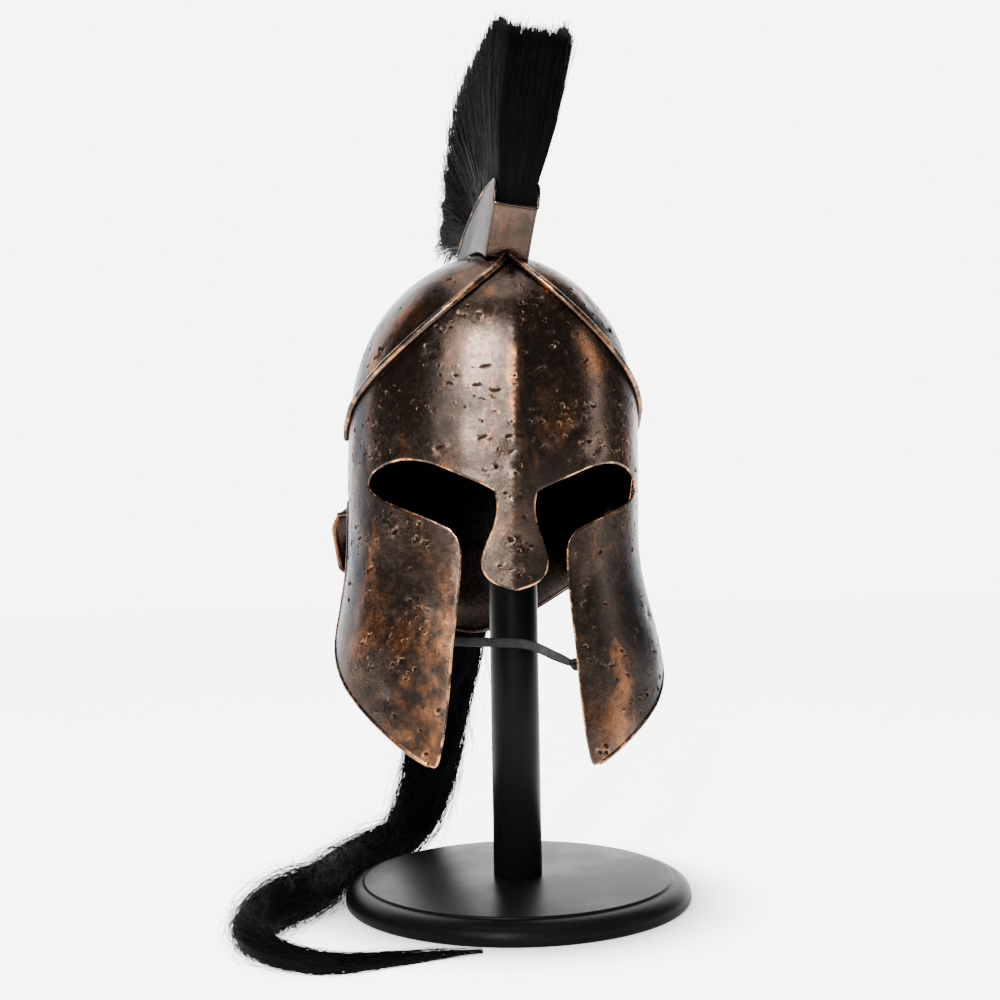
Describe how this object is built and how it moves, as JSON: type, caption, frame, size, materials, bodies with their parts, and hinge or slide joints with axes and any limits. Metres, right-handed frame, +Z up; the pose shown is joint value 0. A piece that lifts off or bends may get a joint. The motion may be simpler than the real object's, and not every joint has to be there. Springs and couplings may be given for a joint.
{
  "type": "greek bronze helmet on a plain wooden stand",
  "caption": "Closed-face bronze helmet with almond eye openings, a leaf-shaped nasal, long cheek plates, an upright black horsehair crest and trailing tail, on a turned black stand.",
  "frame": {"origin": "centre of the stand's underside, on the floor", "axes": "+Z up along the post, the helmet faces -Y, +X is the viewer's right as one faces the helmet"},
  "size_m": [0.3137, 0.3348, 0.6139],
  "materials": {
    "bronze": "dark brown aged bronze with copper-coloured worn edges, stains, pits and small dents",
    "horsehair": "black horsehair with a slight sheen",
    "strap_leather": "black leather",
    "black_wood": "satin black lacquer"
  },
  "bodies": {
    "root": {"skull": "bronze", "face_plate": "bronze", "crest_box": "bronze", "crest_hair": "horsehair", "tail_hair": "horsehair", "chin_strap": "strap_leather", "stand_base": "black_wood", "stand_post": "black_wood", "stand_head": "black_wood"}
  },
  "joints": []
}
